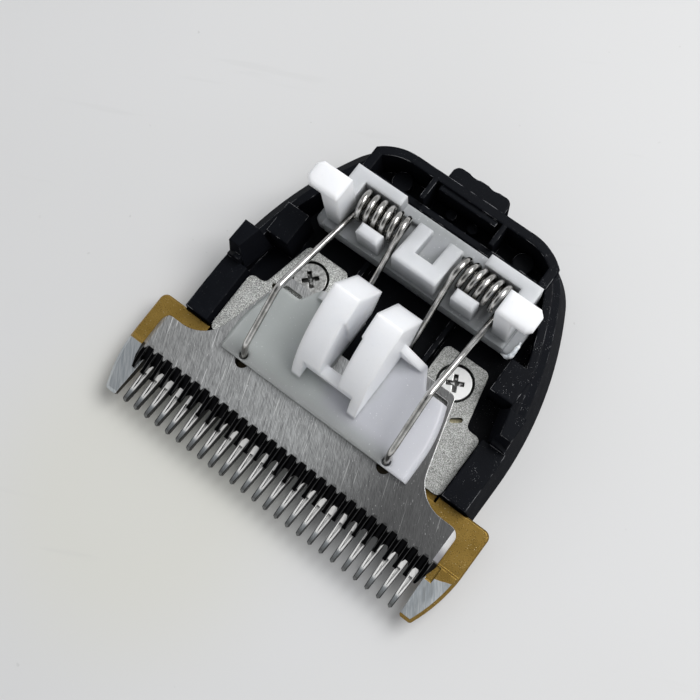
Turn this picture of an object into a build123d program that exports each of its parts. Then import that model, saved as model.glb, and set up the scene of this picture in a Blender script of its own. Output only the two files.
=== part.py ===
"""Cutter head of an adjustable hair clipper, lying skin side down with its inside up.

X runs along the row of teeth, Y from the tooth tips back to the latch tab, and Z up
from the surface that the head lies on. Lengths are in millimetres.
"""

import math
import os

from build123d import *

# Head as a whole.
head_length = 44.4
running_gap = 0.05
fit_gap = 0.3

# Carrier: a moulded shell, D-shaped in plan, open at the front for the blades.
shell_width = 39.0
shell_draft = 1.65
shell_front = 10.0
shell_bend = 18.0
rear_straight = 16.0
rear_round = 7.0
tab_reach = 1.8
floor_thickness = 1.8
wall_thickness = 1.7
rim_height = 7.1
rim_bevel = 0.8
skin_bevel = 0.4
arm_width = 2.75
arm_height = 5.6
arm_end = 20.8
rear_block_width = 25.4
rear_block_depth = 4.7
rear_block_height = 8.5
pocket_wall = 1.1
pocket_floor = 3.4
pocket_rib = 0.6
centre_pocket_width = 9.0
pocket_front_wall = 0.8
pocket_front_height = 6.8
pocket_boss_radius = 0.65
pocket_boss_height = 1.6
side_boss_radius = 1.25
tab_width = 7.8
tab_height = 8.2
tab_thickness = 3.2
tab_corner = 0.9
grip_groove_radius = 2.0
grip_groove_depth = 0.15
rail_spacing = 12.1
rail_width = 0.6
rail_front = 24.0
latch_inner = 14.2
latch_width = 3.0
latch_front = 25.5
latch_length = 4.2
latch_height = 7.5
ramp_width = 3.2
ramp_length = 4.0
ramp_lean = 1.0
ramp_inset = 0.1
ramp_base = 4.6
ramp_height = 9.0

# Fixed blade: steel comb with a raised ground pad, a coated land behind it and a thin tail.
blade_width = 47.4
blade_thickness = 1.8
tooth_pitch = 1.6
tooth_count = 25
slot_tip_width = 1.08
slot_root_width = 0.66
slot_depth = 6.2
tip_bevel = 0.2
tip_thickness = 0.8
taper_length = 8.0
land_drop = 0.2
land_front = 7.1
step_run = 0.25
land_rear = 13.1
land_notch = 0.9
land_corner = 0.9
guard_tip_width = 1.5
guard_tip_round = 0.4
guard_bulge = 0.35
guard_bevel = 0.4
groove_width = 0.44
groove_start = 1.6
groove_length = 2.5
groove_depth = 0.45
witness_width = 0.8
witness_length = 1.9
witness_depth = 0.3
tail_thickness = 1.05
tail_margin = 0.3

# Guide plate: stamped and zinc plated, U-shaped, over the tail.
plate_thickness = 1.0
plate_front = 12.85
plate_width = 33.2
wing_end = 20.9
lug_width = 6.0
lug_inner = 7.0
lug_end = 27.6
lug_flare = 1.5
plate_web = 3.6
plate_corner = 0.8
slot_hole_x = 13.05
slot_hole_y = 21.0
slot_hole_length = 1.5
slot_hole_width = 0.55
slot_hole_angle = 38

# Screws with thin heads, sunk in the guide plate.
screw_spacing = 20.9
screw_y = 24.4
screw_radius = 1.0
screw_length = 2.7
head_radius = 1.95
head_height = 0.7
head_sink = 0.15
recess_gap = 0.3
cross_length = 2.1
cross_width = 0.55
cross_depth = 0.7
left_cross_angle = 45
right_cross_angle = 27
thread_gap = 0.02

# Moving blade, stopped a little to one side of its stroke.
stroke_offset = -0.45
cutter_thickness = 0.8
cutter_width = 42.5
cutter_tip = 3.75
cutter_pitch = 1.407
cutter_slots = 29
cutter_root = 7.05
cutter_root_run = 1.9
cutter_slot_tip = 1.2
cutter_slot_root = 0.86
tooth_bevel_start = 6.45
tooth_tip_drop = 0.75
heel_relief_start = 6.5
tooth_gap = 0.03
shoulder_y = 11.15
shoulder_round = 1.3
end_bevel = 0.75
end_bevel_depth = 0.85
end_tooth_slant = 0.8
neck_width = 30.6
neck_fillet = 4.4
tongue_width = 23.9
tongue_y = 23.1
tongue_corner = 0.7
fork_width = 14.0
fork_y = 19.2
locator_radius = 0.85
locator_y = 11.9
oblong_length = 2.7
oblong_width = 0.9
oblong_x = 10.4
oblong_y = 21.6

# Drive yoke: moulded slider plate with two prongs and a low web between them.
yoke_thickness = 1.1
yoke_front = 11.75
yoke_width = 26.6
yoke_side = 14.5
yoke_rear_width = 23.8
yoke_rear = 21.4
yoke_step_width = 18.0
yoke_back = 23.8
yoke_back_width = 15.0
yoke_bevel = 0.5
prong_gap = 2.6
prong_base = 9.0
prong_foot = 14.1
prong_knee_run = 4.9
prong_knee = 13.3
prong_peak = 15.6
prong_setback = 3.1
prong_rake = 3.4
prong_rear_height = 9.4
prong_overhang = 2.6
rib_depth = 1.0
rib_height = 9.3
foot_width = 1.15
web_front = 15.6
web_depth = 1.4
web_height = 7.9
pad_gap = 2.2
pad_lead = 2.8
pad_bottom = 6.4
leg_spacing = 20.3
leg_hole_y = 12.45
leg_hole_depth = 0.7

# Spring bar: moulded cross bar that carries the springs and slides to set the length.
bar_gap = 0.4
bar_depth = 7.4
bar_travel = 1.6
bar_width = 28.0
bar_bottom = 4.1
bar_deck = 6.95
bar_end_height = 5.6
bar_end_inset = 0.7
bar_wall = 1.4
bar_wall_height = 7.7
bar_block_height = 10.0
bar_block_inner = 5.8
bar_block_width = 25.3
front_block_x = 6.5
front_block_width = 2.9
front_block_depth = 1.4
front_block_height = 10.7
block_bevel = 0.25
centre_width = 5.9
centre_front_height = 10.8
centre_rear_height = 9.2
centre_wall = 1.7
bar_pocket_width = 2.4
ear_inner = 21.3
ear_draft = 0.3
ear_thickness = 1.9
ear_depth = 3.0
ear_setback = 0.8
ear_height = 15.7
ear_reach = 2.2
ear_lip = 1.1
ear_corner = 0.6
ear_bevel = 0.25

# Springs: one wire each, from the inner leg through six turns to the outer leg.
wire = 0.8
wire_sides = 6
turn_sides = 9
coil_diameter = 4.0
coil_inner = 3.8
coil_outer = 10.0
coil_setback = 3.95
coil_z = 9.0
coil_start_angle = 131
coil_sweep = 2040
leg_peak_y = 20.3
leg_peak_z = 11.95
leg_knee_y = 13.4
leg_knee_z = 7.75
hook_gap = 0.1
hook_y = 23.0
hook_end = 15.5

# Places worked out from the sizes above.
tip_line = -head_length / 2
rear_wall = head_length - tab_reach
seat = floor_thickness
ground = seat + blade_thickness
land = ground - land_drop
tail_top = seat + tail_thickness
plate_top = tail_top + plate_thickness
heel = plate_top + running_gap
cutter_top = heel + cutter_thickness
yoke_top = cutter_top + yoke_thickness
half_shell = shell_width / 2
side_run = half_shell - rear_straight / 2
rear_run = rear_wall - shell_bend
side_round = (side_run**2 + rear_run**2 - 2 * rear_run * rear_round) / (2 * (side_run - rear_round))
side_centre = Vector(half_shell - side_round, shell_bend)
corner_centre = Vector(rear_straight / 2, rear_wall - rear_round)
corner_start = (corner_centre - side_centre).normalized()
draft_angle = math.degrees(math.atan(shell_draft / rim_height))
arm_start = land_rear + running_gap
pocket_front = rear_wall - rear_block_depth + pocket_front_wall
pocket_middle = (pocket_front + rear_wall - pocket_wall) / 2
bar_rear = rear_wall - rear_block_depth - bar_gap
bar_front = bar_rear - bar_depth
ear_front = bar_front + ear_setback
coil_y = bar_front + coil_setback
prong_rear = bar_front - prong_setback
prong_peak_y = prong_rear - prong_rake
prong_root = prong_rear - prong_overhang
pad_front = prong_peak_y - pad_lead
half_blade = blade_width / 2
coil_radius = (coil_diameter - wire) / 2
guard_inner = tooth_count * tooth_pitch / 2 + slot_tip_width / 2
screw_seat = plate_top - head_sink - head_height


def level(height):
    """Plan drawing at a height, measured back from the line of the tooth tips."""
    return Plane((0, tip_line, height))


def cutter_level(height):
    """The same for the pieces that run from side to side together."""
    return Plane((stroke_offset, tip_line, height))


def profile(x):
    """Side drawing, with distance from the tooth tips across and height up."""
    return Plane((x, tip_line, 0), x_dir=(0, 1, 0), z_dir=(1, 0, 0))


def corners_at(outline, distance):
    """Corners of a plan drawing at a distance from the tooth tips, from left to right."""
    return outline.vertices().filter_by(lambda v: math.isclose(v.Y, distance, abs_tol=1e-6)).sort_by(Axis.X)


def edges_at(part, height):
    """Edges of a part that have their middle at a height."""
    return part.edges().filter_by(lambda e: math.isclose((e @ 0.5).Z, height, abs_tol=1e-6))


def shell_plan(inset):
    """D-shaped plan of the carrier, two arcs to each side, drawn in from its outer face."""
    joint = corner_centre + corner_start * (rear_round - inset)
    with BuildSketch() as plan:
        with BuildLine():
            Polyline(
                (0, shell_front + inset),
                (half_shell - inset, shell_front + inset),
                (half_shell - inset, shell_bend),
            )
            TangentArc((half_shell - inset, shell_bend), joint, tangent=(0, 1))
            TangentArc((rear_straight / 2, rear_wall - inset), joint, tangent=(1, 0))
            Line((rear_straight / 2, rear_wall - inset), (0, rear_wall - inset))
            mirror(about=Plane.YZ)
        make_face()
    return plan.sketch


os.makedirs("parts", exist_ok=True)

# Ramp on the carrier's right wall, with its inner and front faces leaning back as they rise.
ramp_back = tip_line + arm_end + ramp_length
ramp_rise = ramp_height - ramp_base
with BuildPart() as ramp:
    with BuildSketch(level(ramp_base)):
        Polygon(
            (half_shell - ramp_width, arm_end + ramp_length),
            (half_shell - ramp_width + ramp_lean, arm_end),
            (half_shell, arm_end),
            (half_shell - ramp_inset, arm_end + ramp_length),
            align=None,
        )
    extrude(amount=ramp_rise)
    inner_face = Plane(
        (half_shell - ramp_width, ramp_back, ramp_base),
        x_dir=(ramp_lean, -ramp_length, 0),
        z_dir=(-ramp_length * ramp_rise, -ramp_lean * ramp_rise, ramp_length * ramp_lean),
    )
    split(bisect_by=inner_face, keep=Keep.BOTTOM)
    front_face = Plane(
        (half_shell, tip_line + arm_end, ramp_base),
        x_dir=(1, 0, 0),
        z_dir=(0, -ramp_rise, ramp_lean),
    )
    split(bisect_by=front_face, keep=Keep.BOTTOM)

# Carrier: floor and wall from one D-shaped outline, then the moulded features on them.
skirt = shell_plan(-shell_draft)
outside = shell_plan(0)
inside = shell_plan(wall_thickness)
pocket_limit = shell_plan(pocket_wall)
with BuildPart() as carrier:
    with BuildSketch(level(0)):
        add(skirt)
    extrude(amount=rim_height, taper=draft_angle)
    with BuildSketch(level(floor_thickness)):
        add(inside)
    extrude(amount=rim_height, mode=Mode.SUBTRACT)
    # The wall stops behind the blade's land, and beside the plate it drops to two broad arms.
    with BuildSketch(level(floor_thickness)):
        with Locations((0, arm_start / 2)):
            Rectangle(2 * shell_width, arm_start)
    extrude(amount=rim_height, mode=Mode.SUBTRACT)
    with BuildSketch(level(floor_thickness)):
        with GridLocations(shell_width - arm_width, 1, 2, 1):
            with Locations((0, (arm_start + arm_end) / 2)):
                Rectangle(arm_width, arm_end - arm_start)
    extrude(amount=rim_height - floor_thickness)
    with BuildSketch(level(arm_height)):
        with Locations((0, arm_end / 2)):
            Rectangle(2 * shell_width, arm_end)
    extrude(amount=rim_height, mode=Mode.SUBTRACT)
    outer_edges = carrier.faces().filter_by(GeomType.CONE).edges()
    rim_edges = outer_edges.filter_by(lambda e: math.isclose((e @ 0.5).Z, rim_height, abs_tol=1e-6))
    chamfer(rim_edges, length=rim_bevel)
    chamfer(carrier.faces().sort_by(Axis.Z)[0].edges(), length=skin_bevel)
    # Rear block with its three pockets, their bosses and the latch tab.
    with BuildSketch(level(floor_thickness)):
        add(outside)
        with Locations((0, rear_wall - rear_block_depth / 2)):
            Rectangle(rear_block_width, rear_block_depth, mode=Mode.INTERSECT)
    extrude(amount=rear_block_height - floor_thickness)
    with BuildSketch(level(pocket_floor)):
        add(pocket_limit)
        with Locations((0, pocket_front + rear_block_depth / 2)):
            Rectangle(rear_block_width - 2 * pocket_wall, rear_block_depth, mode=Mode.INTERSECT)
        with GridLocations(centre_pocket_width + pocket_rib, 1, 2, 1):
            with Locations((0, pocket_front)):
                Rectangle(pocket_rib, 4 * rear_block_depth, mode=Mode.SUBTRACT)
    extrude(amount=rear_block_height, mode=Mode.SUBTRACT)
    with BuildSketch(level(pocket_front_height)):
        with Locations((0, pocket_front - pocket_front_wall / 2)):
            Rectangle(rear_block_width - 2 * pocket_wall, pocket_front_wall)
    extrude(amount=rear_block_height, mode=Mode.SUBTRACT)
    with BuildSketch(level(pocket_floor)):
        with Locations((0, pocket_middle)):
            with GridLocations(centre_pocket_width / 3, 1, 2, 1):
                Circle(pocket_boss_radius)
            with GridLocations(rear_block_width / 2 + centre_pocket_width / 2, 1, 2, 1):
                Circle(side_boss_radius)
    extrude(amount=pocket_boss_height)
    with BuildSketch(level(tab_height - tab_thickness)) as tab:
        with Locations((0, head_length - tab_reach)):
            Rectangle(tab_width, 2 * tab_reach)
        fillet(tab.vertices().sort_by(Axis.Y)[-2:], radius=tab_corner)
        with Locations((0, head_length + grip_groove_radius - grip_groove_depth)):
            with GridLocations(tab_width / 3, 1, 2, 1):
                Circle(grip_groove_radius, mode=Mode.SUBTRACT)
    extrude(amount=tab_thickness)
    # Rails for the spring bar, latch blocks and the ramps in front of them.
    with BuildSketch(level(floor_thickness)):
        with Locations((0, (rail_front + rear_wall - rear_block_depth) / 2)):
            with GridLocations(rail_spacing, 1, 2, 1):
                Rectangle(rail_width, rear_wall - rear_block_depth - rail_front)
    extrude(amount=bar_bottom - running_gap - floor_thickness)
    with BuildSketch(level(floor_thickness)):
        with Locations((0, latch_front + latch_length / 2)):
            with GridLocations(2 * latch_inner + latch_width, 1, 2, 1):
                Rectangle(latch_width, latch_length)
    extrude(amount=latch_height - floor_thickness)
    add(ramp.part)
    add(ramp.part.mirror(Plane.YZ))
    with BuildSketch(level(screw_seat - screw_length)):
        with Locations((0, screw_y)):
            with GridLocations(screw_spacing, 1, 2, 1):
                Circle(screw_radius + thread_gap)
    extrude(amount=screw_length, mode=Mode.SUBTRACT)
carrier.part.label = "carrier"
export_step(carrier.part, "parts/carrier.step")

# Outline that the guide plate and the blade's tail under it share.
with BuildSketch(level(tail_top)) as plate_outline:
    with BuildLine():
        Polyline(
            (0, plate_front),
            (plate_width / 2, plate_front),
            (plate_width / 2, wing_end),
            (lug_inner + lug_width + lug_flare, wing_end),
            (lug_inner + lug_width, lug_end),
            (lug_inner, lug_end),
            (lug_inner, plate_front + plate_web),
            (0, plate_front + plate_web),
        )
        mirror(about=Plane.YZ)
    make_face()
    plate_corners = plate_outline.vertices().filter_by(
        lambda v: abs(v.X) > lug_inner / 2 and abs(v.Y - plate_front - plate_web) > plate_corner
    )
    fillet(plate_corners, radius=plate_corner)

# Fixed blade: comb blank and tail, then the land, the tooth slots, the grooves and the pockets.
with BuildPart() as fixed_blade:
    with BuildSketch(level(seat)) as comb:
        with BuildLine():
            Line((0, 0), (guard_inner + guard_tip_width, 0))
            SagittaArc((guard_inner + guard_tip_width, 0), (half_blade, land_front), -guard_bulge)
            Polyline(
                (half_blade, land_front),
                (half_blade, land_rear),
                (plate_width / 2, land_rear),
                (plate_width / 2, land_rear - land_notch),
                (0, land_rear - land_notch),
            )
            mirror(about=Plane.YZ)
        make_face()
        rear_corners = corners_at(comb, land_rear)
        fillet([rear_corners[0], rear_corners[-1]], radius=land_corner)
        guard_corners = corners_at(comb, 0)
        fillet([guard_corners[0], guard_corners[-1]], radius=guard_tip_round)
    extrude(amount=blade_thickness)
    land_inner = plate_width / 2 + land_notch
    end_edges = edges_at(fixed_blade, ground).filter_by(lambda e: abs((e @ 0.5).X) > land_inner)
    chamfer(end_edges, length=guard_bevel)
    with BuildSketch(level(seat)):
        add(plate_outline.sketch_local)
        offset(amount=-tail_margin, mode=Mode.REPLACE)
        with Locations((0, plate_front)):
            Rectangle(plate_width - 2 * tail_margin, 2 * land_notch)
        with Locations((0, hook_end - bar_travel - fit_gap + lug_end / 2)):
            Rectangle(2 * (lug_inner + tail_margin), lug_end, mode=Mode.SUBTRACT)
    extrude(amount=tail_thickness)
    with BuildSketch(profile(0)):
        Polygon(
            (land_front - step_run, ground),
            (land_front, land),
            (head_length, land),
            (head_length, ground),
            align=None,
        )
        Polygon((0, seat), (0, ground - tip_thickness), (taper_length, seat), align=None)
    extrude(amount=blade_width, both=True, mode=Mode.SUBTRACT)
    with BuildSketch(level(0)):
        with GridLocations(tooth_pitch, 1, tooth_count + 1, 1):
            Polygon(
                (-slot_tip_width / 2, 0),
                (slot_tip_width / 2, 0),
                (slot_root_width / 2, slot_depth - slot_root_width / 2),
                (slot_root_width / 4, slot_depth),
                (-slot_root_width / 4, slot_depth),
                (-slot_root_width / 2, slot_depth - slot_root_width / 2),
                align=None,
            )
    extrude(amount=2 * ground, mode=Mode.SUBTRACT)
    tips = fixed_blade.edges().filter_by(Axis.Z).group_by(Axis.Y)[0]
    chamfer(tips.filter_by(lambda e: abs((e @ 0.5).X) < guard_inner + tip_bevel), length=tip_bevel)
    with BuildSketch(level(ground - groove_depth)):
        with Locations((0, groove_start)):
            with GridLocations(tooth_pitch, 1, tooth_count, 1):
                Polygon((0, 0), (groove_width / 2, groove_length), (-groove_width / 2, groove_length), align=None)
    extrude(amount=groove_depth, mode=Mode.SUBTRACT)
    with BuildSketch(level(ground - witness_depth)):
        with Locations((0, land_front - step_run - witness_length / 2)):
            with GridLocations(2 * guard_inner + witness_width, 1, 2, 1):
                Rectangle(witness_width, witness_length)
    extrude(amount=witness_depth, mode=Mode.SUBTRACT)
    with BuildSketch(level(seat)):
        with Locations((0, screw_y)):
            with GridLocations(screw_spacing, 1, 2, 1):
                Circle(screw_radius + fit_gap)
    extrude(amount=blade_thickness, mode=Mode.SUBTRACT)
fixed_blade.part.label = "fixed_blade"
export_step(fixed_blade.part, "parts/fixed_blade.step")

# Guide plate: counterbored for the screw heads, with one angled slot in each lug's flare.
with BuildPart() as guide_plate:
    add(plate_outline.sketch)
    extrude(amount=plate_thickness)
    with BuildSketch(level(screw_seat)):
        with Locations((0, screw_y)):
            with GridLocations(screw_spacing, 1, 2, 1):
                Circle(head_radius + recess_gap)
    extrude(amount=plate_thickness, mode=Mode.SUBTRACT)
    with BuildSketch(level(tail_top)):
        with Locations((0, screw_y)):
            with GridLocations(screw_spacing, 1, 2, 1):
                Circle(screw_radius + fit_gap)
        with Locations((slot_hole_x, slot_hole_y)):
            SlotOverall(slot_hole_length, slot_hole_width, rotation=slot_hole_angle)
        with Locations((-slot_hole_x, slot_hole_y)):
            SlotOverall(slot_hole_length, slot_hole_width, rotation=-slot_hole_angle)
    extrude(amount=plate_thickness, mode=Mode.SUBTRACT)
guide_plate.part.label = "guide_plate"
export_step(guide_plate.part, "parts/guide_plate.step")

# Screws: head and shank turned as one, with a cross recess.
for name, side, turn in (("left_screw", -1, left_cross_angle), ("right_screw", 1, right_cross_angle)):
    with BuildPart() as screw:
        centre = (side * screw_spacing / 2, tip_line + screw_y, screw_seat)
        with BuildSketch(Plane(centre, x_dir=(1, 0, 0), z_dir=(0, -1, 0))):
            with BuildLine():
                Polyline(
                    (0, -screw_length),
                    (screw_radius, -screw_length),
                    (screw_radius, 0),
                    (head_radius, 0),
                    (head_radius, head_height),
                    (0, head_height),
                    close=True,
                )
            make_face()
        revolve(axis=Axis(centre, (0, 0, 1)))
        with BuildSketch(Plane(centre).offset(head_height)):
            Rectangle(cross_length, cross_width, rotation=turn)
            Rectangle(cross_width, cross_length, rotation=turn)
        extrude(amount=-cross_depth, mode=Mode.SUBTRACT)
    screw.part.label = name
    export_step(screw.part, f"parts/{name}.step")

# Moving blade: blank, heel relief and tooth bevel, then the slanted slots and the holes.
with BuildPart() as moving_blade:
    with BuildSketch(cutter_level(ground + tooth_gap)) as blank:
        with BuildLine():
            Polyline(
                (0, cutter_tip),
                (cutter_width / 2 - end_tooth_slant, cutter_tip),
                (cutter_width / 2, heel_relief_start),
                (cutter_width / 2, shoulder_y),
                (neck_width / 2, shoulder_y),
                (tongue_width / 2, tongue_y),
                (fork_width / 2, tongue_y),
                (fork_width / 2, fork_y),
                (0, fork_y),
            )
            mirror(about=Plane.YZ)
        make_face()
        shoulders = corners_at(blank, shoulder_y)
        fillet([shoulders[0], shoulders[-1]], radius=shoulder_round)
        shoulders = corners_at(blank, shoulder_y)
        fillet([shoulders[1], shoulders[-2]], radius=neck_fillet)
        fillet(corners_at(blank, tongue_y), radius=tongue_corner)
        fork_corners = corners_at(blank, fork_y)
        fillet([fork_corners[0], fork_corners[-1]], radius=tongue_corner)
    extrude(amount=cutter_top - ground - tooth_gap)
    with BuildSketch(Plane((stroke_offset, tip_line, cutter_top), x_dir=(1, 0, 0), z_dir=(0, -1, 0))):
        Polygon(
            (cutter_width / 2, 0),
            (cutter_width / 2, -end_bevel_depth),
            (cutter_width / 2 - end_bevel, 0),
            align=None,
        )
        mirror(about=Plane.YZ)
    extrude(amount=-head_length, mode=Mode.SUBTRACT)
    with BuildSketch(profile(0)):
        Polygon(
            (heel_relief_start, 0),
            (heel_relief_start, ground),
            (heel_relief_start + heel - ground, heel),
            (head_length, heel),
            (head_length, 0),
            align=None,
        )
        Polygon(
            (cutter_tip, cutter_top - tooth_tip_drop),
            (tooth_bevel_start, cutter_top),
            (cutter_tip, cutter_top),
            align=None,
        )
    extrude(amount=blade_width, both=True, mode=Mode.SUBTRACT)
    with BuildSketch(cutter_level(cutter_top)):
        with GridLocations(cutter_pitch, 1, cutter_slots, 1):
            Polygon(
                (-cutter_slot_tip / 2, 0),
                (cutter_slot_tip / 2, 0),
                (cutter_slot_root / 2, cutter_root - cutter_slot_root / 2),
                (cutter_slot_root / 4, cutter_root),
                (-cutter_slot_root / 4, cutter_root),
                (-cutter_slot_root / 2, cutter_root - cutter_slot_root / 2),
                align=None,
            )
    extrude(amount=2 * cutter_root_run, dir=(0, -cutter_root_run, ground - cutter_top), mode=Mode.SUBTRACT)
    with BuildSketch(cutter_level(heel)):
        with Locations((0, locator_y)):
            with GridLocations(leg_spacing, 1, 2, 1):
                Circle(locator_radius)
        with Locations((0, oblong_y)):
            with GridLocations(2 * oblong_x, 1, 2, 1):
                SlotOverall(oblong_length, oblong_width)
    extrude(amount=cutter_thickness, mode=Mode.SUBTRACT)
moving_blade.part.label = "moving_blade"
export_step(moving_blade.part, "parts/moving_blade.step")

# Drive yoke: one prong from its side drawing, mirrored onto the slider plate and ribbed to it.
with BuildPart() as prong:
    with BuildSketch(profile(stroke_offset + pad_gap / 2)):
        with BuildLine():
            ThreePointArc(
                (prong_foot, yoke_top),
                (prong_foot + prong_knee_run, prong_knee),
                (prong_peak_y, prong_peak),
            )
            Polyline(
                (prong_peak_y, prong_peak),
                (prong_rear, prong_rear_height),
                (prong_root, yoke_top),
                (prong_foot, yoke_top),
            )
        make_face()
    extrude(amount=(prong_base - pad_gap) / 2)
    with BuildSketch(profile(stroke_offset)):
        with Locations((head_length / 2, head_length / 2)):
            Rectangle(head_length, head_length)
        with Locations((pad_front + head_length / 2, pad_bottom + head_length / 2)):
            Rectangle(head_length, head_length, mode=Mode.SUBTRACT)
    extrude(amount=prong_gap / 2, mode=Mode.SUBTRACT)
    with BuildSketch(cutter_level(yoke_top)):
        with Locations((0, web_front - web_depth)):
            Rectangle(prong_base - 2 * foot_width, 2 * web_depth)
    extrude(amount=prong_peak, mode=Mode.SUBTRACT)

with BuildPart() as drive_yoke:
    with BuildSketch(cutter_level(cutter_top)):
        with BuildLine():
            Polyline((0, yoke_front), (yoke_width / 2, yoke_front), (yoke_width / 2, yoke_side))
            TangentArc((yoke_width / 2, yoke_side), (yoke_rear_width / 2, yoke_rear), tangent=(0, 1))
            Polyline(
                (yoke_rear_width / 2, yoke_rear),
                (yoke_step_width / 2, yoke_rear),
                (yoke_back_width / 2, yoke_back),
                (0, yoke_back),
            )
            mirror(about=Plane.YZ)
        make_face()
    extrude(amount=yoke_thickness)
    side_edges = edges_at(drive_yoke, yoke_top).filter_by_position(
        Axis.Y, tip_line + yoke_front, tip_line + yoke_rear, inclusive=(False, False)
    )
    chamfer(side_edges, length=yoke_bevel)
    add(prong.part)
    add(prong.part.mirror(Plane((stroke_offset, 0, 0), z_dir=(1, 0, 0))))
    with BuildSketch(Plane((stroke_offset, tip_line + yoke_back, 0), x_dir=(1, 0, 0), z_dir=(0, -1, 0))):
        Polygon(
            (prong_base / 2 - foot_width, yoke_top),
            (yoke_back_width / 2, yoke_top),
            (prong_base / 2, rib_height),
            (prong_base / 2 - foot_width, rib_height),
            align=None,
        )
        mirror(about=Plane.YZ)
    extrude(amount=rib_depth)
    with BuildSketch(cutter_level(yoke_top)):
        with Locations((0, web_front + web_depth / 2)):
            Rectangle(prong_base - foot_width, web_depth)
    extrude(amount=web_height - yoke_top)
    with BuildSketch(cutter_level(cutter_top)):
        with Locations((0, web_front + web_depth + head_length / 2)):
            Rectangle(prong_gap, head_length)
    extrude(amount=yoke_thickness, mode=Mode.SUBTRACT)
    with BuildSketch(cutter_level(yoke_top - leg_hole_depth)):
        with Locations((0, leg_hole_y)):
            with GridLocations(leg_spacing, 1, 2, 1):
                Circle(wire / 2 + fit_gap / 2)
    extrude(amount=leg_hole_depth, mode=Mode.SUBTRACT)
drive_yoke.part.label = "drive_yoke"
export_step(drive_yoke.part, "parts/drive_yoke.step")

# Spring bar: deck between the coils' stops, with an ear at each end.
with BuildPart() as spring_bar:
    with BuildSketch(level(bar_bottom)):
        with Locations((0, (bar_front + bar_rear) / 2)):
            Rectangle(bar_block_width, bar_rear - bar_front)
    extrude(amount=bar_deck - bar_bottom)
    with BuildSketch(level(bar_bottom)) as ends:
        with Locations((0, ear_front + ear_depth / 2)):
            Rectangle(bar_width, ear_depth + 2 * bar_end_inset)
        fillet(ends.vertices(), radius=bar_end_inset)
    extrude(amount=bar_end_height - bar_bottom)
    with BuildSketch(level(bar_deck)):
        with Locations((0, bar_rear - bar_wall / 2)):
            Rectangle(bar_block_width, bar_wall)
    extrude(amount=bar_wall_height - bar_deck)
    with BuildSketch(level(bar_deck)):
        with Locations((0, bar_rear - bar_wall / 2)):
            with GridLocations(bar_block_inner + bar_block_width / 2, 1, 2, 1):
                Rectangle(bar_block_width / 2 - bar_block_inner, bar_wall)
        with Locations((0, (ear_front + ear_depth + bar_rear) / 2)):
            with GridLocations(ear_inner / 2 + bar_block_width / 2, 1, 2, 1):
                Rectangle(bar_block_width / 2 - ear_inner / 2, bar_rear - ear_front - ear_depth)
    extrude(amount=bar_block_height - bar_deck)
    with BuildSketch(level(bar_deck)):
        with Locations((0, coil_y - coil_diameter / 2 - running_gap - front_block_depth / 2)):
            with GridLocations(2 * front_block_x, 1, 2, 1):
                Rectangle(front_block_width, front_block_depth)
    extrude(amount=front_block_height - bar_deck)
    chamfer(spring_bar.faces().group_by(Axis.Z)[-1].edges(), length=block_bevel)
    with BuildSketch(profile(0)):
        Polygon(
            (bar_front + block_bevel, bar_deck),
            (bar_front + 2 * block_bevel, centre_front_height - block_bevel),
            (bar_front + 3 * block_bevel, centre_front_height),
            (bar_rear - bar_wall, centre_rear_height),
            (bar_rear - bar_wall, bar_deck),
            align=None,
        )
    extrude(amount=centre_width / 2, both=True)
    with BuildSketch(level(bar_wall_height)):
        with Locations((0, (bar_front + 3 * block_bevel + centre_wall + bar_rear - bar_wall) / 2)):
            Rectangle(bar_pocket_width, bar_rear - bar_wall - bar_front - 3 * block_bevel - centre_wall)
    extrude(amount=bar_deck, mode=Mode.SUBTRACT)
    with BuildSketch(Plane((0, tip_line + ear_front, 0), x_dir=(1, 0, 0), z_dir=(0, -1, 0))):
        Polygon(
            (ear_inner / 2, bar_bottom),
            (ear_inner / 2 + ear_thickness, bar_bottom),
            (ear_inner / 2 + ear_thickness, ear_height - ear_lip),
            (ear_inner / 2 + ear_thickness + ear_reach, ear_height - ear_lip),
            (ear_inner / 2 + ear_thickness + ear_reach, ear_height),
            (ear_inner / 2 - ear_draft, ear_height),
            align=None,
        )
        mirror(about=Plane.YZ)
    extrude(amount=-ear_depth)
    upright_edges = spring_bar.edges().filter_by(Axis.Z).group_by(Axis.X)
    chamfer(upright_edges[0] + upright_edges[-1], length=ear_corner)
    chamfer(spring_bar.faces().group_by(Axis.Z)[-1].edges(), length=ear_bevel)
spring_bar.part.label = "spring_bar"
export_step(spring_bar.part, "parts/spring_bar.step")

# Springs: the inner leg, the coil and the outer leg swept as one wire.
for name, side in (("left_spring", -1), ("right_spring", 1)):
    axle = Plane((side * coil_inner, tip_line + coil_y, coil_z), x_dir=(0, 1, 0), z_dir=(1, 0, 0))
    leg_x = side * leg_spacing / 2 + stroke_offset
    hook_z = tail_top - hook_gap - wire / 2
    steps = round(coil_sweep / 360 * turn_sides)
    turns = []
    for step in range(steps + 1):
        angle = math.radians(coil_start_angle - coil_sweep * step / steps)
        along = side * (coil_outer - coil_inner) * step / steps
        place = (coil_radius * math.cos(angle), coil_radius * math.sin(angle), along)
        turns.append(axle.from_local_coords(place))
    with BuildPart() as spring:
        with BuildLine() as path:
            Polyline(
                (side * coil_inner, tip_line + hook_end, hook_z),
                (side * coil_inner, tip_line + hook_y, hook_z),
                *turns,
                (leg_x, tip_line + leg_peak_y, leg_peak_z),
                (leg_x, tip_line + leg_knee_y, leg_knee_z),
                (leg_x, tip_line + leg_hole_y, yoke_top - leg_hole_depth / 2),
            )
        with BuildSketch(Plane(path.wire() @ 0, x_dir=(1, 0, 0), z_dir=(0, 1, 0))):
            RegularPolygon(wire / 2, wire_sides)
        sweep(path=path.wire(), transition=Transition.RIGHT)
    spring.part.label = name
    export_step(spring.part, f"parts/{name}.step")
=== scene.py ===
import math

import bpy
from mathutils import Matrix, Vector, noise


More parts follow.
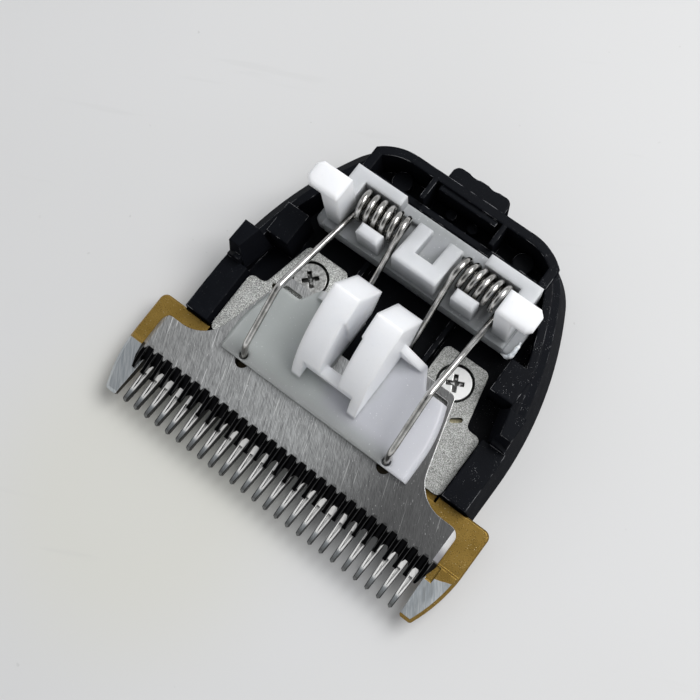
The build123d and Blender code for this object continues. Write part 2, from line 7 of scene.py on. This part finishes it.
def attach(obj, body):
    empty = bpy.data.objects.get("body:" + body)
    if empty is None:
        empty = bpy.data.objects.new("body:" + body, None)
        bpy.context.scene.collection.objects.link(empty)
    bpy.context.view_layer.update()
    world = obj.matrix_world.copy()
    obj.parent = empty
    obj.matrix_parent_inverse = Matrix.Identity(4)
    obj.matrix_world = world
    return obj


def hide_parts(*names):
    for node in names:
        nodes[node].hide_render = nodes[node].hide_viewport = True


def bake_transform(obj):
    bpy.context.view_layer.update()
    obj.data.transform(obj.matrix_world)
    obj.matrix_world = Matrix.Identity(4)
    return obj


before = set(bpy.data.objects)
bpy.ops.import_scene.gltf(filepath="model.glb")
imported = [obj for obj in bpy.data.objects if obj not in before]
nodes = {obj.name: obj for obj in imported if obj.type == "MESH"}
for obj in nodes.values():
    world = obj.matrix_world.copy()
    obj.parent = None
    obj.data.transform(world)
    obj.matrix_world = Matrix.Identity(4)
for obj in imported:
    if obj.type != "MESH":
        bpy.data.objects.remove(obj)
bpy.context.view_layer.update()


# Carrier. The black moulded shell that holds every other piece, lying on its skin side.
# It is glass-filled nylon with a fine mould texture and a semi-gloss sheen. Pale highlights
# are painted along its edges in places, and dust has settled on the rim and the arm to the right.
class Socket:
    """One socket of a finish. Sums and products of sockets add the nodes that work them out."""

    def __init__(self, socket):
        self.socket = socket

    def node(self, kind, settings=(), inputs=(), out=0):
        """Adds a node. Its settings are set first, then its inputs, by name or number."""
        tree = self.socket.id_data
        made = tree.nodes.new("ShaderNode" + kind)
        for key, value in dict(settings).items():
            setattr(made, key, value)
        for key, value in dict(inputs).items():
            if isinstance(value, Socket):
                tree.links.new(value.socket, made.inputs[key])
            else:
                made.inputs[key].default_value = value
        return Socket(made.outputs[out])

    def math(self, operation, *values):
        return self.node("Math", {"operation": operation}, dict(enumerate(values)))

    def __add__(self, other):
        return self.math("ADD", self, other)

    def __radd__(self, other):
        return self.math("ADD", other, self)

    def __sub__(self, other):
        return self.math("SUBTRACT", self, other)

    def __rsub__(self, other):
        return self.math("SUBTRACT", other, self)

    def __mul__(self, other):
        return self.math("MULTIPLY", self, other)

    def __rmul__(self, other):
        return self.math("MULTIPLY", other, self)

    def size(self):
        """The value without its sign."""
        return self.math("ABSOLUTE", self)

    def larger(self, other):
        """The larger of two values."""
        return self.math("MAXIMUM", self, other)

    def from_nearest(self, pitch):
        """Distance from the nearest of many lines that lie a pitch apart."""
        steps = self * (1 / pitch)
        return steps.math("WRAP", steps, 0.5, -0.5).size() * pitch

    def ease(self, low, high):
        """0 below low and 1 above high, smooth between them."""
        limits = {0: self, 1: low, 2: high}
        return self.node("MapRange", {"interpolation_type": "SMOOTHSTEP"}, limits)

    def past(self, line, blur):
        """0 up to a line and 1 from a blur past it."""
        return self.ease(line, line + blur)

    def part(self, axis):
        """One component of a vector."""
        return self.node("SeparateXYZ", (), {0: self}, "XYZ".index(axis))

    def stretch(self, x, y, z):
        """A vector with each component multiplied."""
        return self.node("VectorMath", {"operation": "MULTIPLY"}, {0: self, 1: (x, y, z)})

    def grained(self, degrees, across, along):
        """A vector for marks that run in a direction of the plan, so many to the millimetre."""
        turn = {"Vector": self, "Angle": math.radians(90 - degrees)}
        return self.node("VectorRotate", {"rotation_type": "Z_AXIS"}, turn).stretch(across, along, 1.0)

    def noise(self, scale, detail=2.0, rough=0.5):
        """Noise from 0 to 1, with so many lumps to the millimetre."""
        lumps = {"Vector": self, "Scale": scale, "Detail": detail, "Roughness": rough}
        return self.node("TexNoise", (), lumps)

    def blend(self, first, second):
        """A colour from first, where the socket is 0, to second, where it is 1."""
        both = {
            key: value if isinstance(value, Socket) else (*value, 1.0)
            for key, value in ((6, first), (7, second))
        }
        return self.node("Mix", {"data_type": "RGBA"}, {0: self, **both}, 2)


def finish(name, edge):
    """A new material with its shader, the place on the object in millimetres and a normal
    that turns softly over edges of that radius."""
    material = bpy.data.materials.new(name)
    material.use_nodes = True
    tree = material.node_tree
    shader = tree.nodes["Principled BSDF"]
    here = Socket(tree.nodes.new("ShaderNodeTexCoord").outputs["Object"])
    place = here.stretch(1000.0, 1000.0, 1000.0)
    soft = here.node("Bevel", {"samples": 6}, {"Radius": edge / 1000})
    return material, shader, place, soft


def set_shader(shader, **values):
    """Sets or links the shader's sockets, named with underscores for spaces."""
    for key, value in values.items():
        socket = shader.inputs[key.replace("_", " ")]
        if isinstance(value, Socket):
            shader.id_data.links.new(value.socket, socket)
        else:
            socket.default_value = value


def relief(height, soft, strength, depth):
    """A normal with the height's relief, in millimetres, on top of the soft edges."""
    bump = {"Strength": strength, "Distance": depth / 1000, "Height": height, "Normal": soft}
    return height.node("Bump", (), bump)


def upward(place):
    """1 on a face that looks up, 0 on a wall and -1 on a face that looks down."""
    return place.node("NewGeometry", (), (), "Normal").part("Z")


def edges(place, radius):
    """1 at the solid's edges, to a radius in millimetres, and 0 on its faces."""
    square = place.node("NewGeometry", (), (), "Normal")
    rounded = place.node("Bevel", {"samples": 4}, {"Radius": radius / 1000})
    turned = place.node("VectorMath", {"operation": "DOT_PRODUCT"}, {0: square, 1: rounded}, "Value")
    return (1 - turned).ease(0.03, 0.12)


def dress(node, material):
    """Gives a solid its finish."""
    mesh = nodes[node].data
    mesh.materials.clear()
    mesh.materials.append(material)


tip_line = -22.2
dust_line = 14.0
dust_blur = 5.0
nylon_black = (0.002, 0.0025, 0.004)
nylon_pale = (0.004, 0.005, 0.0075)
nylon_wall = (0.006, 0.0065, 0.0085, 1.0)
dust_and_highlight_grey = (0.65, 0.66, 0.68)

black, shader, place, soft = finish("black_nylon", 0.35)
mould = place.noise(7.0, 3.0)
cloud = place.noise(0.45, 3.0)
# Painted highlight: pale lines along some edges, in the same grey as the dust.
edge_highlight = 0.5 * edges(place, 0.14) * place.noise(0.6, 3.0).ease(0.5, 0.62)
rightward = place.part("X") + 0.3 * place.part("Y")
dusty = 0.1 + 0.9 * rightward.past(dust_line, dust_blur)
specks = place.noise(9.0, 1.0).ease(0.70, 0.74) * place.noise(0.8, 2.0).ease(0.45, 0.6)
specks = 0.6 * specks * dusty
set_shader(
    shader,
    Base_Color=specks.larger(edge_highlight).blend(cloud.blend(nylon_black, nylon_pale), dust_and_highlight_grey),
    Roughness=0.36 + 0.2 * cloud + 0.25 * specks,
    Specular_IOR_Level=0.07,
    Normal=relief(mould, soft, 0.4, 0.05),
)
sheen = upward(place).size().ease(0.15, 0.4)
matt = place.node("BsdfDiffuse", (), {"Color": nylon_wall})
skin = place.node("MixShader", (), {0: sheen, 1: matt, 2: Socket(shader.outputs["BSDF"])})
black.node_tree.links.new(skin.socket, black.node_tree.nodes["Material Output"].inputs["Surface"])
dress("carrier", black)


# Fixed blade. A steel comb with a gold nitride coat, ground bare on the front of its upper
# face, where the moving blade runs. The coat keeps fine pits and the ground face the
# slanting marks of the wheel.
tooth_pitch = 1.6
tooth_half = 0.26
tooth_taper = 0.0358
comb_half = 20.35
comb_root = 6.95
inner_half = 21.3
inner_root = 6.7
coat_line = 6.45
coat_dip = 0.95
coat_slope = 0.37
guard_middle = 21.7
end_slot = 20.94
end_slot_half = 0.4
end_slot_front = 4.8
well_half = 13.0
well_front = 7.2
tail_line = 13.5
wheel_angle = 124

gold_deep = (0.30, 0.185, 0.038)
gold_pale = (0.40, 0.26, 0.07)
gold_shaded = (0.08, 0.05, 0.015)
tail_olive = (0.60, 0.54, 0.35)
pit_brown = (0.07, 0.042, 0.014)
glint_gold = (0.95, 0.82, 0.5)
steel_cool = (0.54, 0.575, 0.60)
steel_warm = (0.62, 0.63, 0.62)
steel_shaded_streaks = (0.16, 0.17, 0.175)
steel_marked = (0.40, 0.43, 0.45)
hone_grey = (0.56, 0.555, 0.54)
hone_white = (0.92, 0.91, 0.89)
tip_shade_grey = (0.11, 0.11, 0.105)
shadow_black = (0.02, 0.02, 0.02)

coated, shader, place, soft = finish("coated_steel", 0.1)
east = place.part("X")
back = place.part("Y") - tip_line
facing = upward(place)
aside = east.size()
comb = (1 - aside.past(comb_half, 0.1)) * (1 - back.past(comb_root, 0.1))
right_end = east.ease(-1.0, 1.0)
coat_edge = coat_line - right_end * (coat_dip - coat_slope * (east - guard_middle))
coat_edge = coat_edge + 0.14 * (place.noise(1.2, 3.0) - 0.5)
pocket = (1 - (aside - end_slot).size().past(end_slot_half, 0.04)) * back.past(end_slot_front, 0.06)
ground_off = (1 - (back - coat_edge).past(0.0, 0.1)) * (1 - pocket)
ground_off = ground_off * (facing + 0.3 * (1 - right_end)).ease(0.85, 0.95)
bare = comb + (1 - comb) * ground_off
wheel = place.grained(wheel_angle, 7.0, 0.4).noise(1.0, 4.0, 0.6)
tint = place.stretch(0.12, 0.25, 1.0).noise(1.0, 2.0)
pits = place.noise(7.0, 2.0).ease(0.58, 0.66)
glints = place.noise(7.5, 1.0).ease(0.72, 0.76)
patch = place.noise(0.55, 3.0)
gold = patch.blend(gold_deep, gold_pale)
gold = (0.35 * right_end).blend(gold, gold_shaded)
gold = back.past(tail_line, 0.5).blend(gold, tail_olive)
gold = (0.6 * pits).blend(gold, pit_brown)
gold = (0.6 * glints).blend(gold, glint_gold)
# Painted shade: the ground steel on the right half darkened in streaks along the wheel marks.
shaded_streaks = place.grained(wheel_angle, 0.9, 0.35).noise(1.0, 3.0).ease(0.42, 0.62) * right_end
steel = (0.65 * shaded_streaks).blend(tint.blend(steel_cool, steel_warm), steel_shaded_streaks)
steel = wheel.ease(0.35, 0.7).blend(steel_marked, steel)
honed = comb * back.ease(1.3, 1.9) * facing.ease(0.85, 0.95)
steel = honed.blend(steel, wheel.blend(hone_grey, hone_white))
# Painted shade: the tips of the teeth darker grey.
steel = (0.85 * comb * (1 - back.ease(0.2, 2.2))).blend(steel, tip_shade_grey)
within = tooth_half + tooth_taper * back - east.from_nearest(tooth_pitch)
steel = (0.9 * comb * (1 - within.ease(0.05, 0.12))).blend(steel, shadow_black)
well = (1 - aside.past(well_half, 0.4)) * back.past(well_front, 0.4) * (1 - back.past(tail_line, 0.5))
inner = (1 - aside.past(inner_half, 0.1)) * (1 - back.past(inner_root, 0.1))
wall = inner * (1 - facing.size().ease(0.15, 0.4))
set_shader(
    shader,
    Base_Color=(0.92 * wall.larger(well)).blend(bare.blend(gold, steel), shadow_black),
    Metallic=1 - 0.5 * honed,
    Roughness=0.28 + 0.16 * patch + 0.12 * pits - 0.06 * bare * wheel + 0.1 * honed,
    Normal=relief(0.6 * wheel * bare + pits * (1 - bare), soft, 0.4, 0.04),
)
dress("fixed_blade", coated)


# Guide plate. A U-shaped stamping over the blade's tail, held by the two screws. Its zinc
# plate is dull and grainy, with brighter spangle, and darker at the right.
sunk_top = 3.35
zinc_dark = (0.15, 0.155, 0.145)
zinc_bright = (0.90, 0.91, 0.88)
zinc_shaded = (0.10, 0.10, 0.095)

zinc, shader, place, soft = finish("zinc_plate", 0.12)
grain = place.noise(6.5, 3.0, 0.7)
spangle = place.node("TexVoronoi", (), {"Vector": place, "Scale": 3.2}, "Color").part("X")
shade = place.noise(0.35, 2.0)
sunk = 1 - place.part("Z").past(sunk_top, 0.35)
tone = (0.75 * grain.ease(0.38, 0.64) + 0.25 * spangle).blend(zinc_dark, zinc_bright)
tone = (0.5 * place.part("X").ease(0.0, 8.0)).blend(tone, zinc_shaded)
set_shader(
    shader,
    Base_Color=(0.95 * sunk).blend(tone, shadow_black),
    Metallic=1.0,
    Roughness=0.28 + 0.22 * grain + 0.1 * shade,
    Normal=relief(grain, soft, 0.9, 0.06),
)
dress("guide_plate", zinc)


# Screws. Two thin cross-recessed heads, nickel plated. The left one is dull and mottled. Their
# recesses are painted black as shade, except where a little metal shines.
recess_top = 3.4
nickel_dull = (0.36, 0.36, 0.345)
nickel_worn = (0.70, 0.70, 0.68)
nickel_bright = (0.92, 0.92, 0.90)
recess_shade_black = (0.03, 0.03, 0.028)

nickel, shader, place, soft = finish("nickel_screw", 0.1)
mottle = place.noise(3.4, 3.0)
shining = 0.7 * place.noise(2.6, 2.0).ease(0.55, 0.62)
# Painted shade: the cross recesses black.
recess_shade = (1 - place.part("Z").past(recess_top, 0.24)) * (1 - shining)
face = mottle.ease(0.3, 0.7).blend(nickel_dull, nickel_worn)
face = place.part("X").ease(-1.0, 1.0).blend(face, nickel_bright)
set_shader(
    shader,
    Base_Color=(0.92 * recess_shade).blend(face, recess_shade_black),
    Metallic=1.0,
    Roughness=0.26 + 0.2 * mottle,
    Normal=relief(mottle, soft, 0.3, 0.03),
)
dress("left_screw", nickel)
dress("right_screw", nickel)


# Moving blade. Bare tool steel, lapped flat, with fine brush marks that run slantwise
# across it, a few brighter scratches and painted glints, and painted shade toward the right.
# The bevel of its teeth is painted black as a dark reflection, with a thin lip.
cutter_pitch = 1.407
stroke_offset = -0.45
bevel_line = 6.85
bevel_dip = 0.5
lip_half = 0.6
lip_taper = 0.0257
lip_front = 3.9
slot_root = 7.0
end_cut_front = 6.9
neck_front = 11.5

lap_left = (0.58, 0.58, 0.565)
lap_middle = (0.70, 0.71, 0.70)
lap_right_shaded = (0.15, 0.15, 0.149)
mark_left = (0.24, 0.24, 0.24)
mark_right_shaded = (0.10, 0.10, 0.10)
scratch_and_glint_white = (0.95, 0.95, 0.93)
bevel_reflection_black = (0.004, 0.004, 0.005)
bevel_reflection_grey = (0.014, 0.014, 0.015)
lip_grey = (0.16, 0.16, 0.16)
slot_shade_black = (0.012, 0.012, 0.012)
end_reflection_grey = (0.42, 0.42, 0.45)
end_reflection_white = (0.97, 0.97, 0.98)
arris_highlight_white = (0.95, 0.95, 0.94)

bare_steel, shader, place, soft = finish("lapped_steel", 0.1)
east = place.part("X")
back = place.part("Y") - tip_line
facing = upward(place)
marks = place.grained(112, 6.0, 0.45).noise(1.0, 5.0, 0.75)
fine = place.grained(122, 17.0, 1.1).noise(1.0, 3.0, 0.65)
crossed = place.grained(146, 12.0, 0.9).noise(1.0, 3.0, 0.65)
lines = 0.4 * marks + 0.35 * fine + 0.25 * crossed
fading = east.ease(0.0, 10.0)
scratch = place.grained(109, 5.0, 0.16).noise(1.0, 1.0).ease(0.68, 0.73) * (1 - 0.7 * fading)
glint = place.grained(118, 9.0, 2.4).noise(1.0, 1.0).ease(0.70, 0.76) * (1 - 0.6 * fading)
# Painted shade: the steel and its marks get much darker toward the right, and a little darker at the
# left end.
darker = east.ease(-2.0, 14.0)
tone = darker.blend(east.ease(-24.0, -4.0).blend(lap_left, lap_middle), lap_right_shaded)
tone = lines.ease(0.36, 0.62).blend(darker.blend(mark_left, mark_right_shaded), tone)
# Scratches and painted glints are both drawn white.
tone = (0.75 * scratch.larger(glint)).blend(tone, scratch_and_glint_white)
# Painted reflection: the bevel of the teeth black, reaching a little past its real edge.
beside = (east - stroke_offset).from_nearest(cutter_pitch)
bevel_edge = bevel_line - bevel_dip * beside.ease(0.42, 0.66)
bevel = 1 - (back - bevel_edge).ease(-0.06, 0.06)
off_lip = beside - lip_half + lip_taper * back
lip = (1 - off_lip.size().ease(0.015, 0.06)) * back.past(lip_front, 0.5)
tone = bevel.blend(tone, lip.blend(lines.blend(bevel_reflection_black, bevel_reflection_grey), lip_grey))
# Painted shade: the walls of the slots black.
slot_wall = (1 - facing.size().ease(0.2, 0.45)) * (1 - back.past(slot_root, 0.3))
tone = (0.95 * slot_wall).blend(tone, slot_shade_black)
# Painted reflection: the bevel at the right end, grey at the front and white further back.
end_cut = facing.ease(0.4, 0.5) * (1 - facing.ease(0.75, 0.85))
end_cut = end_cut * back.past(end_cut_front, 0.2) * east.ease(0.0, 1.0)
tone = end_cut.blend(tone, back.ease(7.6, 9.2).blend(end_reflection_grey, end_reflection_white))
# Painted highlight: a white line along the right edges of the neck.
arris_highlight = edges(place, 0.2) * back.past(neck_front, 1.0) * east.ease(4.0, 8.0)
set_shader(
    shader,
    Base_Color=arris_highlight.blend(tone, arris_highlight_white),
    Metallic=1.0,
    Roughness=0.24 + 0.16 * fine,
    Normal=relief(0.6 * marks + 0.4 * fine, soft, 0.4, 0.03),
)
dress("moving_blade", bare_steel)


# Drive yoke. White acetal, moulded as one slider with two prongs that take the drive pin.
# It is smooth and a little translucent, and rubbed matt where it slides.
acetal_shade = (0.85, 0.86, 0.89)
acetal_white = (0.90, 0.91, 0.93)
scuff_grey = (0.60, 0.62, 0.63)
speck_white = (0.95, 0.95, 0.95)


def acetal(name, thin, thick, shallow):
    """White acetal above the second height. Up to the first one it has the colour that shallow works
    out for a place, where it is thin and dark parts show through; that grey is also painted shade,
    darker toward the bottom."""
    material, shader, place, soft = finish(name, 0.6)
    body = place.part("Z").ease(thin, thick)
    cloud = place.noise(0.5, 3.0)
    scuff = place.noise(2.6, 4.0, 0.6)
    specks = place.noise(5.0, 1.0).ease(0.72, 0.76)
    colour = body.blend(shallow(place), cloud.blend(acetal_shade, acetal_white))
    colour = (0.12 * scuff.ease(0.55, 0.8)).blend(colour, scuff_grey)
    set_shader(
        shader,
        Base_Color=(0.5 * specks * (1 - body)).blend(colour, speck_white),
        Roughness=0.32 + 0.14 * cloud,
        Normal=relief(scuff, soft, 0.15, 0.03),
        Subsurface_Weight=0.8,
        Subsurface_Radius=(1.0, 0.98, 0.95),
        Subsurface_Scale=0.0025,
    )
    return material


yoke_front = 11.8
lit_end = 8.6
yoke_green = (0.415, 0.44, 0.43)
yoke_blue = (0.465, 0.472, 0.505)
yoke_dark = (0.26, 0.27, 0.265)
yoke_lit = (0.56, 0.565, 0.60)


def over_steel_shaded(place):
    """Grey that is darker at the front edge, and palest at the right end, where light is painted on.
    """
    east = place.part("X")
    back = place.part("Y") - tip_line
    colour = (0.05 * east + place.noise(0.3, 2.0)).ease(0.25, 0.75).blend(yoke_green, yoke_blue)
    colour = back.past(yoke_front, 2.8).blend(yoke_dark, colour)
    return east.past(lit_end, 2.0).blend(colour, yoke_lit)


# The low slider takes this grey: partly steel showing through the thin plate, partly painted shade.
dress("drive_yoke", acetal("yoke_acetal", 5.7, 6.6, over_steel_shaded))


# Spring bar. The same white acetal: a cross bar with the coils' stops and two ears, which
# slides between the carrier's rails to set the cutting length.
bar_dark = (0.235, 0.25, 0.25)
bar_pale = (0.28, 0.29, 0.305)


def over_black_shaded(place):
    """Even grey, a little lighter in places."""
    return place.noise(0.5, 2.0).ease(0.3, 0.7).blend(bar_dark, bar_pale)


# Below 14.5 mm the bar fades to this grey toward the bottom: partly black showing through thin acetal,
# partly painted shade.
dress("spring_bar", acetal("bar_acetal", 6.0, 14.5, over_black_shaded))


# Springs. Bright nickel-plated music wire, wound in nearly six turns, with an inner leg
# hooked under the blade's tail and an outer leg that presses the yoke down. Shade between
# the turns is painted dark brown.
wire = 0.8
coil_radius = 1.6
coil_inner = 3.8
coil_outer = 10.0
coil_y = 34.05
coil_z = 9.0
coil_start = math.radians(131)
coil_turn = math.radians(2040)
coil_steps = 272
hook_end = 15.5
hook_corner = 23.0
hook_z = 2.35
leg_spacing = 20.3
leg_top_y = 20.3
leg_top_z = 11.95
leg_knee_y = 13.4
leg_knee_z = 7.75
leg_foot_y = 12.45
leg_foot_z = 5.45
leg_bend = 1.4
bend_steps = 8
crevice_shade_brown = (0.09, 0.08, 0.065)
wire_grey = (0.38, 0.37, 0.35)
wire_bright = (0.64, 0.63, 0.61)

bright_wire, shader, place, soft = finish("nickel_wire", 0.05)
drawn = place.noise(0.8, 3.0)
# Painted shade: dark brown where other geometry hems the wire in.
crevice_shade = place.node("AmbientOcclusion", {"samples": 6}, {"Distance": 0.0012}, "AO")
plating = drawn.ease(0.3, 0.7).blend(wire_grey, wire_bright)
set_shader(
    shader,
    Base_Color=crevice_shade.ease(0.25, 0.75).blend(crevice_shade_brown, plating),
    Metallic=1.0,
    Roughness=0.13 + 0.1 * drawn,
    Normal=relief(drawn, soft, 0.08, 0.02),
)


def bent(corners):
    """Points along a wire through the corners, each one rounded to the bend."""
    points = [corners[0]]
    for before, corner, after in zip(corners, corners[1:], corners[2:]):
        first = (before - corner).normalized()
        second = (after - corner).normalized()
        half = first.angle(second) / 2
        reach = leg_bend / math.tan(half)
        centre = corner + (first + second).normalized() * (leg_bend / math.sin(half))
        start = corner + first * reach - centre
        end = corner + second * reach - centre
        for step in range(bend_steps + 1):
            points.append(centre + leg_bend * start.slerp(end, step / bend_steps))
    return points + [corners[-1]]


def tube(name, points, radii, material):
    """A round tube along the points, with a radius at each, in millimetres, as a mesh of its own."""
    curve = bpy.data.curves.new(name, "CURVE")
    curve.dimensions = "3D"
    curve.bevel_depth = 0.001
    curve.bevel_resolution = 4
    curve.use_fill_caps = True
    spline = curve.splines.new("POLY")
    spline.points.add(len(points) - 1)
    for target, point, radius in zip(spline.points, points, radii):
        target.co = (*(point / 1000), 1.0)
        target.radius = radius
    line = bpy.data.objects.new(name + "_line", curve)
    mesh = bpy.data.meshes.new_from_object(line)
    bpy.data.objects.remove(line)
    mesh.name = name
    mesh.materials.clear()
    mesh.materials.append(material)
    mesh.shade_smooth()
    piece = bpy.data.objects.new(name, mesh)
    bpy.context.scene.collection.objects.link(piece)
    return piece


for spring, side in (("left_spring", -1), ("right_spring", 1)):
    turns = []
    for step in range(coil_steps + 1):
        angle = coil_start - coil_turn * step / coil_steps
        turns.append(Vector((
            side * (coil_inner + (coil_outer - coil_inner) * step / coil_steps),
            tip_line + coil_y + coil_radius * math.cos(angle),
            coil_z + coil_radius * math.sin(angle),
        )))
    hook = [Vector((side * coil_inner, tip_line + y, hook_z)) for y in (hook_end, hook_corner)]
    run = bent([*hook, turns[0]]) + turns[1:]
    coil = tube(spring + "_coil", run, [wire / 2] * len(run), bright_wire)
    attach(coil, "adjuster")
    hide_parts(spring)
    leg_x = side * leg_spacing / 2 + stroke_offset
    top = Vector((leg_x, tip_line + leg_top_y, leg_top_z))
    knee = Vector((leg_x, tip_line + leg_knee_y, leg_knee_z))
    foot = Vector((leg_x, tip_line + leg_foot_y, leg_foot_z))
    run = bent([turns[-1], top, knee, foot])
    leg = tube(spring + "_leg", run, [wire / 2] * len(run), bright_wire)
    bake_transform(leg)
    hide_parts(spring)


# Grease. White grease from the slide, pushed out in a lumpy bead round the right front
# corner of the spring bar. Each point has its place, back from the tips, and its radius.
bead = (
    (12.7, 30.05, 4.75, 0.10),
    (13.1, 30.02, 5.00, 0.22),
    (13.5, 30.05, 5.30, 0.30),
    (13.78, 30.3, 5.55, 0.33),
    (13.85, 30.8, 5.68, 0.28),
    (13.85, 31.5, 5.72, 0.24),
    (13.82, 32.3, 5.70, 0.12),
)
bead_steps = 6
lump_size = 0.45
lump_height = 0.12
grease_grey = (0.55, 0.60, 0.64)
grease_white = (0.90, 0.92, 0.94)

grease, shader, place, soft = finish("white_grease", 0.05)
streak = place.noise(2.4, 3.0)
set_shader(
    shader,
    Base_Color=streak.ease(0.35, 0.65).blend(grease_grey, grease_white),
    Roughness=0.25 + 0.2 * streak,
    Normal=relief(streak, soft, 0.3, 0.08),
    Subsurface_Weight=0.5,
    Subsurface_Radius=(1.0, 1.0, 1.0),
    Subsurface_Scale=0.0004,
)
run = []
radii = []
for (x, y, z, radius), (next_x, next_y, next_z, next_radius) in zip(bead, bead[1:]):
    start = Vector((x, tip_line + y, z))
    end = Vector((next_x, tip_line + next_y, next_z))
    for step in range(bead_steps):
        share = step / bead_steps
        run.append(start.lerp(end, share))
        radii.append(radius + (next_radius - radius) * share)
smear = tube("grease_bead", run, radii, grease)
for vertex in smear.data.vertices:
    lump = noise.noise(vertex.co * (1000 / lump_size))
    vertex.co += vertex.normal * (lump_height * lump / 1000)
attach(smear, "adjuster")


# The surface that the head lies on: a pale board, lightly scuffed and gritty, a little
# warmer in front of the teeth.
board_half = 0.6
warm_middle = (-12.0, -30.0, 0.0)
warm_radius = 8.0
warm_blur = 18.0
board_grey = (0.63, 0.63, 0.625)
board_pale = (0.68, 0.68, 0.68)
board_warm = (0.645, 0.64, 0.585)
board_scuffed = (0.5, 0.5, 0.49)

corners = [(-board_half, -board_half, 0), (board_half, -board_half, 0)]
corners += [(board_half, board_half, 0), (-board_half, board_half, 0)]
board_mesh = bpy.data.meshes.new("board")
board_mesh.from_pydata(corners, [], [(0, 1, 2, 3)])
board = bpy.data.objects.new("board", board_mesh)
bpy.context.scene.collection.objects.link(board)
pale, shader, place, _ = finish("pale_board", 0.1)
drift = place.noise(0.02, 2.0)
rubs = place.grained(25, 0.35, 0.03).noise(1.0, 4.0).ease(0.64, 0.72)
grit = place.noise(0.9, 1.0).ease(0.765, 0.785) * place.noise(0.1, 2.0).ease(0.5, 0.6)
off_warm = place.node("VectorMath", {"operation": "DISTANCE"}, {0: place, 1: warm_middle}, "Value")
warmth = 0.8 - 0.8 * off_warm.past(warm_radius, warm_blur)
ground = warmth.blend(drift.blend(board_grey, board_pale), board_warm)
set_shader(
    shader,
    Base_Color=(0.12 * rubs + 0.5 * grit).blend(ground, board_scuffed),
    Roughness=0.6 + 0.1 * drift,
)
board_mesh.materials.append(pale)


# Light: a broad soft window behind and to the right, in a room that is pale behind the head
# and low in front of it, and dark high up in front.
room_front = (0.34, 0.345, 0.35)
room_back = (0.56, 0.57, 0.59)
room_low = (0.85, 0.86, 0.87)
room_dark = (0.03, 0.03, 0.032)
dark_way = (-0.12, -0.52, 0.845)
window_width = 0.34
window_height = 0.24
window_watts = 1.9
window_place = Vector((0.16, 0.22, 0.38))

world = bpy.data.worlds.new("room")
bpy.context.scene.world = world
world.use_nodes = True
sky = world.node_tree.nodes["Background"]
way = Socket(world.node_tree.nodes.new("ShaderNodeTexCoord").outputs["Generated"])
behind = (way.part("Y") - 0.15 * way.part("X")).ease(-0.6, 0.5)
low = (1 - behind) * (1 - way.part("Z").ease(0.2, 0.6))
toward = way.node("VectorMath", {"operation": "DOT_PRODUCT"}, {0: way, 1: dark_way}, "Value")
room = low.blend(behind.blend(room_front, room_back), room_low)
room = toward.ease(0.86, 0.97).blend(room, room_dark)
world.node_tree.links.new(room.socket, sky.inputs["Color"])
sky.inputs["Strength"].default_value = 1.0

lamp = bpy.data.lights.new("window", "AREA")
lamp.shape = "RECTANGLE"
lamp.size = window_width
lamp.size_y = window_height
lamp.energy = window_watts
window = bpy.data.objects.new("window", lamp)
window.location = window_place
window.rotation_mode = "QUATERNION"
window.rotation_quaternion = (-window_place).to_track_quat("-Z", "Y")
bpy.context.scene.collection.objects.link(window)


# Camera: nearly overhead, turned as the photograph was taken.
turn = math.radians(54.46)
rise = math.radians(76.68)
roll = math.radians(-17.7)
target = Vector((-0.00153, -0.00181, 0.0038))
distance = 0.11761

away = Vector((math.sin(turn) * math.cos(rise), -math.cos(turn) * math.cos(rise), math.sin(rise)))
level = Vector((math.cos(turn), math.sin(turn), 0.0))
upright = away.cross(level)
right = math.cos(roll) * level + math.sin(roll) * upright
up = math.cos(roll) * upright - math.sin(roll) * level
stand = target + away * distance
lens = bpy.data.cameras.new("camera")
lens.sensor_width = 36.0
lens.lens = 52.476
lens.clip_start = 0.005
camera = bpy.data.objects.new("camera", lens)
camera.matrix_world = Matrix((
    (right.x, up.x, away.x, stand.x),
    (right.y, up.y, away.y, stand.y),
    (right.z, up.z, away.z, stand.z),
    (0.0, 0.0, 0.0, 1.0),
))
bpy.context.scene.collection.objects.link(camera)
bpy.context.scene.camera = camera

bpy.context.scene.view_settings.view_transform = "Standard"
